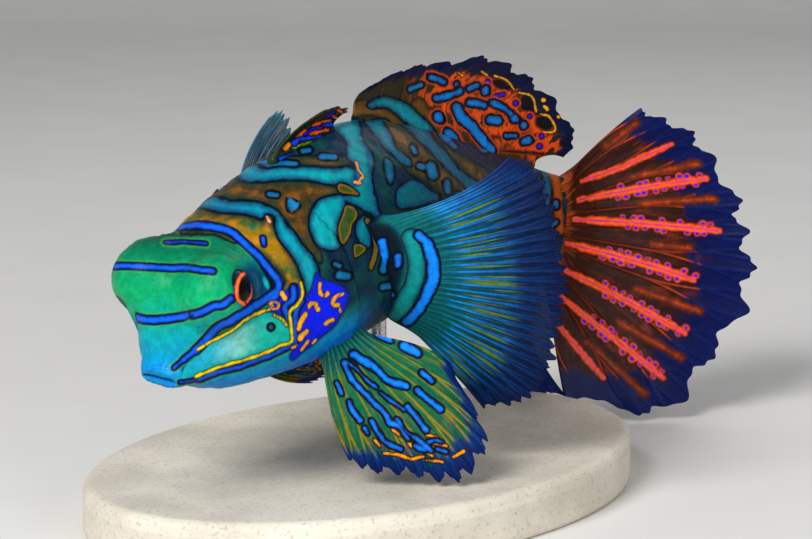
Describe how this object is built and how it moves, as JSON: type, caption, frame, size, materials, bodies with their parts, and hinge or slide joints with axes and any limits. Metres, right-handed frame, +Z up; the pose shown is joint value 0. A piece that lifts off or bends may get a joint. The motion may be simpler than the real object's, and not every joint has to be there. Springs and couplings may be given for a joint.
{
  "type": "mandarinfish model",
  "caption": "Life-size model of a small, brightly banded reef fish with spread fins, held over a flat oval base by a short rod.",
  "frame": {"origin": "middle of the flat underside of the base, straight under the trunk", "axes": "+Z up; the head points towards -X and the fish's left side faces -Y"},
  "size_m": [0.0675, 0.034, 0.0324],
  "materials": {
    "head": "green and turquoise skin, wet gloss",
    "trunk": "turquoise and brown banded skin, wet gloss",
    "tail": "turquoise and brown banded skin, wet gloss",
    "eye_left": "dark teal eye with a red ring",
    "eye_right": "dark teal eye with a red ring",
    "pectoral_fin_left": "blue and green fin membrane",
    "pectoral_fin_right": "blue and green fin membrane",
    "pelvic_fin_left": "green and blue fin membrane",
    "pelvic_fin_right": "green and blue fin membrane",
    "dorsal_fin_first": "orange and blue fin membrane",
    "dorsal_fin_second": "orange and blue fin membrane",
    "anal_fin": "dark blue fin membrane",
    "caudal_fin": "brown and blue fin membrane with orange stripes",
    "stand_base": "pale sand-coloured base",
    "stand_rod": "satin steel rod"
  },
  "bodies": {
    "root": {"head": "head", "trunk": "trunk", "tail": "tail", "eye_left": "eye_left", "eye_right": "eye_right", "pectoral_fin_left": "pectoral_fin_left", "pectoral_fin_right": "pectoral_fin_right", "pelvic_fin_left": "pelvic_fin_left", "pelvic_fin_right": "pelvic_fin_right", "dorsal_fin_first": "dorsal_fin_first", "dorsal_fin_second": "dorsal_fin_second", "anal_fin": "anal_fin", "caudal_fin": "caudal_fin", "stand_base": "stand_base", "stand_rod": "stand_rod"}
  },
  "joints": []
}
